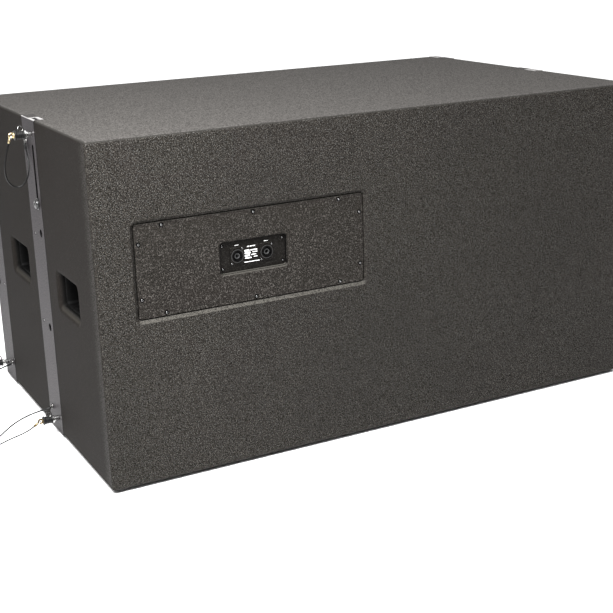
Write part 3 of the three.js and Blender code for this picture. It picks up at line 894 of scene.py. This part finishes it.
# ---- handles and feet
def make_hand_hold(row, side):
    """Moulded pocket behind a hand hole, with a small rim and rounded corners."""
    node = f"handle_cup_{row}_{side}"
    low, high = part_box(node)
    middle = centre(node)
    _, half_y, half_z = halves(node)
    face = max(abs(low.x), abs(high.x))
    deep = (high.x - low.x) / MM

    def loop(inset, back, radius=CUP_CORNER / MM):
        x = SIDES[side] * (face - back * MM)
        return rect_loop("x", x, middle, half_y - inset * MM, half_z - inset * MM, radius * MM)

    loops = [
        loop(1, deep), loop(0.3, deep - 0.4), loop(0, deep - 1.4), loop(0, 1), loop(0.3, 0.3),
        loop(1, 0), loop(1.8, 0.1), loop(2.5, 0.7), loop(2.9, 2), loop(3.1, 10), loop(3.6, deep - 8),
        loop(4.4, deep - 4.6), loop(6.5, deep - 3.2), loop(10, deep - 3, 5),
    ]
    add(f"hand_hold_{row}_{side}", loft(loops), CUP, "cup_plastic", node, sharp=50)


def make_foot(row, side):
    node = f"foot_{row}_{side}"
    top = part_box(node)[1].z
    middle = centre(node)
    radius = max(halves(node)[:2])
    outline = [
        (0, 2.6 * MM), (4.2 * MM, 2.6 * MM), (4.6 * MM, 0.4 * MM), (5.2 * MM, 0),
        (radius - 2.4 * MM, 0), (radius - 1 * MM, 0.5 * MM), (radius - 0.2 * MM, 1.6 * MM),
        (radius, top - 0.4 * MM), (radius - 0.4 * MM, BASE_Z), (0, BASE_Z),
    ]
    foot = turned(outline, "z", (middle.x, middle.y, 0), 40)
    add(f"rubber_{node}", foot, RUBBER, "foot_rubber", node)


for end, tag in RAILS:
    make_hand_hold(end, tag)
    make_foot(end, tag)


# ---- fasteners
def screw_mesh(radius, height, socket):
    """Round-headed screw on +Z with a hexagon socket, seated at the origin."""
    dome = [
        (0, -0.3), (0.96, -0.3), (1, 0.02), (0.97, 0.35), (0.86, 0.68),
        (0.66, 0.9), (0.4, 0.99), (0, 1),
    ]
    head = turned([(r * radius, h * height) for r, h in dome], "z", (0, 0, 0), 24)
    tool = prism(circle(socket, 6), "z", height * 0.35, height * 2)
    return boolean(head, [tool])


def seat_mesh(radius):
    """Flat black washer under a screw head."""
    low, high = -0.2 * MM, 0.25 * MM
    bm = turned([(0, low), (radius, low), (radius, high), (0, high)], "z", (0, 0, 0), 24)
    mesh = bpy.data.meshes.new("seat")
    bm.to_mesh(mesh)
    bm.free()
    return mesh


def scatter(name, mesh, places, axis, material, slot="black_steel"):
    """One piece of many copies of mesh, its +Z turned along axis at each place."""
    bm = bmesh.new()
    turn = Vector(axis).to_track_quat("Z", "Y").to_matrix().to_4x4()
    for place in places:
        copy = mesh.copy()
        copy.transform(Matrix.Translation(place) @ turn)
        bm.from_mesh(copy)
        bpy.data.meshes.remove(copy)
    add(name, bm, material, slot, sharp=40)


# ---- input panel
OUT = (0, 1, 0)                      # the way the panel faces
COVER_LOW, COVER_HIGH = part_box("access_cover")
DISH_LOW, DISH_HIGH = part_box("input_dish")
DISH_MIDDLE = centre("input_dish")
MOUTH_X = halves("input_dish")[0] - 10 * MM
MOUTH_Z = halves("input_dish")[2] - 8 * MM
SOCKETS = ("socket_outer", "socket_inner")
PLATE_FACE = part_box("socket_plate")[1].y


def around_dish(half_u, half_v, radius, y):
    return rect_loop("y", y, DISH_MIDDLE, half_u, half_v, radius)


def make_access_cover():
    """Flat cover with a flared mouth round the dish, and ten screws in black washers."""
    trim = 1.2 * MM
    clear = 1 * MM
    flare = 1.8 * MM
    half_x, _, half_z = (half - trim for half in halves("access_cover"))
    plate = loft([around_dish(half_x, half_z, 5.5 * MM, y) for y in (COVER_LOW.y, COVER_HIGH.y)])
    mouth = loft([
        around_dish(MOUTH_X + grow, MOUTH_Z + grow, 6 * MM + grow, y)
        for grow, y in (
            (clear, COVER_LOW.y - PAST), (clear, COVER_HIGH.y - flare),
            (clear + flare + PAST, COVER_HIGH.y + PAST),
        )
    ])
    mesh = eased(boolean(plate, [mouth]), 0.5 * MM, 3)
    add("cover_plate", mesh, COVER, "cover_paint", "access_cover")
    row_x, row_z = 167 * MM, half_z - 5.4 * MM
    end_x, end_z = half_x - 6.8 * MM, 47.4 * MM
    spots = [(x, s * row_z) for x in (-row_x, 0, row_x) for s in (-1, 1)]
    spots += [(sx * end_x, sz * end_z) for sx in (-1, 1) for sz in (-1, 1)]
    places = [(DISH_MIDDLE.x + x, COVER_HIGH.y, DISH_MIDDLE.z + z) for x, z in spots]
    scatter("cover_screw_seats", seat_mesh(3.9 * MM), places, OUT, SOCKET)
    scatter("cover_screws", screw_mesh(2.5 * MM, 2.2 * MM, 0.9 * MM), places, OUT, SCREW)


def make_dish():
    """Pressed tray behind the cover's mouth, with rolled edges."""
    lip = DISH_HIGH.y
    floor = DISH_LOW.y + 1.5 * MM
    rows = (
        (10, 8, 7, lip - 1.5 * MM), (10, 8, 7, lip), (1.0, 1.0, 7, lip),
        (0.2, 0.2, 6.4, lip - 0.3 * MM), (0, 0, 6, lip - 1 * MM), (-0.3, -0.3, 6, floor + 1.3 * MM),
        (-1.1, -1.1, 5.5, floor + 0.2 * MM), (-2, -2, 5, floor), (-13.5, -9.75, 3, floor),
        (-13.5, -9.75, 3, DISH_LOW.y), (0, 0, 6, DISH_LOW.y), (1.5, 1.5, 7, DISH_LOW.y + 1.4 * MM),
        (1.5, 1.5, 7, lip - 1.5 * MM),
    )
    loops = [
        around_dish(MOUTH_X + grow_x * MM, MOUTH_Z + grow_z * MM, radius * MM, y)
        for grow_x, grow_z, radius, y in rows
    ]
    add("pressed_dish", loft(loops, ring=True), COVER, "cover_paint", "input_dish")


def make_socket_plate():
    """Plate at the bottom of the dish, bored for two sockets."""
    low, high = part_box("socket_plate")
    half_x, _, half_z = halves("socket_plate")
    bore = 11.5 * MM
    plate = loft([around_dish(half_x, half_z, 5 * MM, y) for y in (low.y, high.y)])
    tools = []
    for node in SOCKETS:
        middle = centre(node)
        rod = [(bore, low.y - PAST), (bore, high.y + PAST)]
        tools.append(turned(rod, "y", (middle.x, 0, middle.z), 32))
    mesh = eased(boolean(plate, tools), 0.35 * MM)
    add("socket_panel", mesh, PANEL, "socket_plate_paint", "socket_plate")
    screw_x, screw_z = 57.4 * MM, 20.3 * MM
    places = [
        (DISH_MIDDLE.x + sx * screw_x, high.y, DISH_MIDDLE.z + sz * screw_z)
        for sx in (-1, 1) for sz in (-1, 1)
    ]
    scatter("socket_panel_seats", seat_mesh(2.9 * MM), places, OUT, SOCKET)
    scatter("socket_panel_screws", screw_mesh(1.9 * MM, 1.3 * MM, 0.7 * MM), places, OUT, SCREW)


def make_socket(node):
    """Round locking speaker socket: flange, rim, keyed black well, grey post and screws."""
    middle = centre(node)
    half_x, _, half_z = halves(node)
    face = PLATE_FACE + 0.1 * MM
    origin = (middle.x, face, middle.z)

    def round_piece(outline, segments=48, ring=False, bm=None):
        points = [(radius * MM, height * MM) for radius, height in outline]
        return turned(points, "y", origin, segments, ring=ring, bm=bm)

    outline = rounded_rect(half_x, half_z, 2.5 * MM, centre_uv=(middle.x, middle.z))
    flange = boolean(
        prism(outline, "y", face, face + 1.4 * MM), [round_piece([(10.6, -5), (10.6, 5)])],
    )
    bm = as_bmesh(eased(flange, 0.4 * MM))
    rim = [(11, -24), (11, 1.6), (11.6, 1.9), (11.4, 2.5), (10.6, 2.7), (9.4, 2.6), (9.2, 2.2), (9.2, -24)]
    round_piece(rim, ring=True, bm=bm)
    add(f"{node}_flange", bm, PANEL, "black_plastic", node)

    well = [(6.6, -11.5), (9.1, -11.5), (9.1, 3.2), (8.7, 3.8), (6.9, 3.8), (6.6, 3.4)]
    keys = []
    for turn, width in ((90, 3.2), (210, 2.2), (330, 2.2)):
        a = math.radians(turn)
        side = Vector((math.cos(a), 0, math.sin(a)))
        across = Vector((-math.sin(a), 0, math.cos(a))) * width / 2 * MM
        near, out = (Vector(origin) + side * r * MM for r in (6.0, 8.0))
        loop = [near - across, out - across, out + across, near + across]
        keys.append(loft([[p + Vector((0, y, 0)) for p in loop] for y in (-8 * MM, PAST)]))
    bm = as_bmesh(boolean(round_piece(well, ring=True), keys))
    round_piece([(0, -24), (9.1, -24), (9.1, -11.6), (0, -11.6)], bm=bm)
    add(f"{node}_well", bm, SOCKET, "black_plastic")

    post = [
        (3.1, -10), (5.3, -10), (5.4, 1.4), (5.1, 1.9), (4.6, 2.1), (3.7, 2.1), (3.3, 1.8), (3.1, 1.2),
    ]
    bm = round_piece(post, ring=True)
    round_piece([(10.9, 2.0), (11.6, 2.0), (11.6, 2.95), (10.9, 2.95)], ring=True, bm=bm)
    add(f"{node}_post", bm, SOCKET_POST, "black_plastic")
    places = [
        (middle.x + s * 10.1 * MM, face + 1.3 * MM, middle.z - s * 12.4 * MM) for s in (-1, 1)
    ]
    scatter(f"{node}_screws", screw_mesh(1.9 * MM, 1.1 * MM, 0.8 * MM), places, OUT, SCREW)


def make_marks():
    """Plain printed bars round the sockets, with no lettering."""
    outer, inner = (centre(node) for node in SOCKETS)
    mid_x, mid_z = (outer.x + inner.x) / 2, (outer.z + inner.z) / 2
    pitch = abs(outer.x - inner.x)
    bars = [(s * pitch / 2 / MM, 18.8, 7.6, 0.9) for s in (-1, 1)]
    bars += [
        (-4.8, 13.6, 5.0, 1.5), (0.9, 13.6, 3.2, 1.5), (5.9, 13.6, 4.0, 1.5), (8.6, 6.6, 9.0, 2.8),
        (-4.4, 6.6, 13.0, 1.5), (7.6, 2.2, 10.8, 2.8), (-6.4, 2.8, 9.0, 1.3), (8.4, -2.4, 9.4, 2.6),
        (-3.6, -1.6, 9.6, 1.2), (6.6, -6.6, 12.0, 1.8), (-7.4, -5.6, 7.0, 1.1), (0, -13.6, 44.0, 0.9),
    ]
    bm = bmesh.new()
    for x, z, width, tall in bars:
        outline = rounded_rect(
            width / 2 * MM, tall / 2 * MM, 0.4 * MM, 3, centre_uv=(mid_x + x * MM, mid_z + z * MM),
        )
        prism(outline, "y", PLATE_FACE - 0.05 * MM, PLATE_FACE + 0.08 * MM, bm)
    add("printed_marks", bm, MARK, "socket_plate_paint")


make_access_cover()
make_dish()
make_socket_plate()
for socket_node in SOCKETS:
    make_socket(socket_node)
make_marks()


# ---- flying rails
RIGGING_HOLES = (398 * MM, 218 * MM)
RIGGING_HOLE = 7.5 * MM              # radius, as are the next two
FIXING_HOLES = (391 * MM, 221 * MM)
FIXING_HOLE = 3.5 * MM
PIN_HOLE = 5.6 * MM
SLOT_HALF = 5.5 * MM
SKIN = 5 * MM                        # outer plate of a rail
CHANNEL = 8.1 * MM                   # hollow behind it
LIFT = next(j["range_m"][1] for j in frame["joints"] if j["name"] == "link_rear_right_lift")


def rail_hole(rail, radius, y, z, depth):
    """Cutting rod from outside the rail's face to depth behind it."""
    return rail.profile([(radius / MM, -depth / MM), (radius / MM, PAST / MM)], y, z, 32)


def stadium(y, low, high, half_width):
    middle = (low + high) / 2
    return rounded_rect(
        half_width, (high - low) / 2 + half_width, half_width * 0.999, 10, centre_uv=(y, middle),
    )


def make_rail(rail):
    """Hollow rail: channel for the bar, slot for its bolt, pin, rigging and fixing holes."""
    bar_low, bar_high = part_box(rail.bar)
    way = 0.3 * MM
    full = rail.high.x - rail.low.x + PAST
    skin_only = SKIN + 0.5 * MM
    near, far = rail.across(-SKIN, -SKIN - CHANNEL)
    channel = block(
        (near, bar_low.y - way, BASE_Z - PAST), (far, bar_high.y + way, TOP_Z + PAST),
    )
    outline = stadium(rail.slot_y, rail.bolt_z, rail.bolt_z + LIFT, SLOT_HALF)
    tools = [channel, prism(outline, "x", *rail.across(-skin_only, PAST))]
    for level in LEVELS:
        tools.append(rail_hole(rail, PIN_HOLE, rail.slot_y, rail.pin_z(level), full))
    for z in RIGGING_HOLES:
        tools.append(rail_hole(rail, RIGGING_HOLE, rail.slot_y, z, skin_only))
    for z in FIXING_HOLES:
        tools.append(rail_hole(rail, FIXING_HOLE, rail.anchor_y, z, skin_only))
    mesh = eased(boolean(block(rail.low, rail.high), tools), 0.6 * MM)
    add(f"painted_rail_{rail.suffix}", mesh, RAIL, "rail_paint", f"rail_{rail.suffix}")
    head = screw_mesh(3.3 * MM, 2.2 * MM, 1.3 * MM)
    places = [rail.point(-2.6 * MM, rail.anchor_y, z) for z in FIXING_HOLES]
    outward = (rail.sign, 0, 0)
    scatter(f"rail_screws_{rail.suffix}", head, places, outward, ZINC, "zinc_steel")


def make_link(rail):
    """Sliding flat bar and the guide bolt whose head rides outside the slot."""
    body = f"link_{rail.suffix}"
    low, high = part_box(rail.bar)
    middle = centre(rail.bar)
    outline = rounded_rect(*halves(rail.bar)[1:], 9 * MM, 8, centre_uv=(middle.y, middle.z))
    top_hole = rail.pin_z("upper")
    holes = [(PIN_HOLE, top_hole - down) for down in (0, 38 * MM, LIFT)]
    holes.append((5.3 * MM, rail.bolt_z))
    tools = [rail_hole(rail, radius, rail.slot_y, z, 40 * MM) for radius, z in holes]
    mesh = eased(boolean(prism(outline, "x", low.x, high.x), tools), 0.5 * MM)
    add(f"plated_bar_{rail.suffix}", mesh, BAR_STEEL, "zinc_steel", rail.bar, body=body)
    washer = [(4.8, -11), (4.8, 0.3), (10.5, 0.3), (10.5, 1.3), (10.1, 1.7), (4.6, 1.7), (4.6, -11)]
    place = (rail.slot_y, rail.bolt_z)
    ring = rail.profile(washer, *place, 40, ring=True)
    add(f"bolt_washer_{rail.suffix}", ring, BLACK_STEEL, "black_steel", body=body)
    head = [
        (0, -11.8), (4.5, -11.8), (4.5, 1.7), (8.9, 1.7), (9.1, 2.1), (8.9, 4.2), (8.2, 5.4),
        (6.9, 6.1), (5.2, 6.3), (0, 6.3),
    ]
    dome = rail.profile(head, *place, 40)
    start = rail.point(0, *place)
    hexagon = [(start.y + u, start.z + v) for u, v in circle(3.6 * MM, 6)]
    mesh = boolean(dome, [prism(hexagon, "x", *rail.across(2.6 * MM, 12 * MM))])
    name = f"bolt_head_{rail.suffix}"
    add(name, mesh, BLACK_STEEL, "black_steel", rail.bolt, body=body, sharp=40)


def make_pin(rail, level):
    """Quick-release pin: steel shank with locking balls, ribbed grip, tail eye and ring."""
    ends = f"{level}_{rail.suffix}"
    body = f"pin_{ends}"
    y, z = rail.slot_y, rail.pin_z(level)
    start = PARKED / MM

    def shifted(points):
        return [(radius, start + height) for radius, height in points]

    shank = [
        (0, -14.2), (3.4, -14.2), (4.4, -13.6), (5, -12.4), (5, 0.1), (6.9, 0.3), (7.3, 0.7),
        (7.3, 3.6), (6.9, 4.0), (0, 4.0),
    ]
    bm = rail.profile(shifted(shank), y, z, 36)
    for way in (-1, 1):
        ball = Matrix.Translation(rail.point(PARKED - 10.2 * MM, y, z + way * 4.1 * MM))
        bmesh.ops.create_icosphere(bm, subdivisions=2, radius=1.4 * MM, matrix=ball)
    add(f"pin_shank_{ends}", bm, CHROME, "zinc_steel", body=body)

    grip = [(0, 3.8), (7.8, 3.8), (8.5, 4.6), (8.4, 5.4)]
    for k in range(4):
        at = 6.0 + 3.0 * k
        grip += [(7.5, at), (7.5, at + 1.4), (6.7, at + 1.9), (6.7, at + 2.5)]
    grip += [(7.6, 18.2), (8.8, 19.4), (8.8, 21.0), (8.2, 21.7), (4.4, 22.1), (0, 22.1)]
    bm = rail.profile(shifted(grip), y, z, 40)
    add(f"pin_grip_{ends}", bm, GRIP, "pin_plastic", f"pin_{ends}", body=body)

    tail = [(0, 22), (4.4, 22), (4.8, 22.5), (4.4, 23.4), (3.4, 23.9), (0, 24)]
    bm = rail.profile(shifted(tail), y, z, 28)
    hoop(rail.point(PARKED + TAIL_EYE, y, z), 2.9 * MM, 1.6 * MM, (0, 1, 0), 32, bm)
    add(f"pin_tail_{ends}", bm, TAIL_METAL[level], "zinc_steel", body=body)

    ring_at = rail.point(PARKED + 9.6 * MM, y, z + 10.6 * MM)
    bm = hoop(ring_at, 3.3 * MM, 1.15 * MM, (0, 1, 0.3), 32)
    add(f"pin_ring_{ends}", bm, NICKEL, "zinc_steel", body=body)


for rail_frame in RAIL_FRAMES:
    make_rail(rail_frame)
    make_link(rail_frame)
    for height in LEVELS:
        make_pin(rail_frame, height)


# ---- front grille
def make_grille():
    """Pressed tray of perforated sheet: round holes in a staggered pattern."""
    low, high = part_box("front_grille")
    sheet = 1.5 * MM
    tray = block(low, high)
    hollow = block(
        (low.x + sheet, low.y + sheet, low.z + sheet), (high.x - sheet, high.y + PAST, high.z - sheet),
    )
    pitch = 9.5 * MM
    margin = 9 * MM
    holes = bmesh.new()
    row_step = pitch * math.sqrt(3) / 2
    rows = int((high.z - low.z - 2 * margin) / row_step)
    columns = int((high.x - low.x - 2 * margin) / pitch)
    z0 = (low.z + high.z) / 2 - (rows - 1) * row_step / 2
    for row in range(rows):
        shift = (row % 2) * pitch / 2
        for column in range(columns - row % 2):
            x = -(columns - 1) * pitch / 2 + shift + column * pitch
            points = [(x + u, z0 + row * row_step + v) for u, v in circle(3.4 * MM, 8)]
            prism(points, "y", low.y - PAST, low.y + sheet + 2 * MM, holes)
    mesh = boolean(as_bmesh(boolean(tray, [hollow])), [holes])
    add("perforated_grille", mesh, GRILLE, "grille_steel", "front_grille")


make_grille()


# ---- carried-over nodes
CARRIED = {
    "baffle": PLY,
    "port_wall_right": PLY,
    "port_wall_left": PLY,
    "grille_foam": FOAM,
}
for tag in SIDES:
    CARRIED[f"driver_basket_{tag}"] = ALLOY
    CARRIED[f"driver_motor_{tag}"] = MOTOR
    CARRIED[f"driver_cone_{tag}"] = CONE
    CARRIED[f"driver_surround_{tag}"] = SURROUND
for node_name, finish in CARRIED.items():
    carried = NODES[node_name]
    carried.data.materials.clear()
    carried.data.materials.append(finish)


# ---- floor and lights
HORIZON, ZENITH = 0.1, 2.4           # soft light tent, brightest overhead, seen as white
FLOOR_REACH = 60.0
FLOOR_DROP = 0.5 * MM                # floor below the feet


def make_studio():
    bm = bmesh.new()
    corners = ((-1, -1), (1, -1), (1, 1), (-1, 1))
    bm.faces.new([
        bm.verts.new((x * FLOOR_REACH, y * FLOOR_REACH, -FLOOR_DROP)) for x, y in corners
    ])
    floor = to_object("studio_floor", bm, studio_floor())
    bpy.context.scene.view_settings.view_transform = "Standard"
    world = bpy.data.worlds.new("studio")
    bpy.context.scene.world = world
    world.use_nodes = True
    tree = world.node_tree
    place, split, rise, seen, rays = (
        tree.nodes.new(f"ShaderNode{kind}")
        for kind in ("TexCoord", "SeparateXYZ", "MapRange", "Mix", "LightPath")
    )
    rise.interpolation_type = "SMOOTHSTEP"
    for socket, number in zip(rise.inputs[1:5], (0.25, 1.0, HORIZON, ZENITH)):
        socket.default_value = number
    sky = tree.nodes["Background"]
    sky.inputs["Color"].default_value = (1, 1, 1, 1)
    tree.links.new(place.outputs["Generated"], split.inputs[0])
    tree.links.new(split.outputs["Z"], rise.inputs[0])
    seen.inputs["B"].default_value = 1.0
    tree.links.new(rays.outputs["Is Camera Ray"], seen.inputs["Factor"])
    tree.links.new(rise.outputs[0], seen.inputs["A"])
    tree.links.new(seen.outputs["Result"], sky.inputs["Strength"])


def make_light(name, place, aim, size, power):
    data = bpy.data.lights.new(name, "AREA")
    data.shape = "RECTANGLE"
    data.size, data.size_y = size
    data.energy = power
    light = linked(name, data)
    light.location = place
    light.rotation_mode = "QUATERNION"
    light.rotation_quaternion = (Vector(aim) - Vector(place)).to_track_quat("-Z", "Y")


make_studio()
make_light("key", (1.0, 1.1, 1.7), (0.2, 0.1, 0.4), (0.9, 0.9), 125)
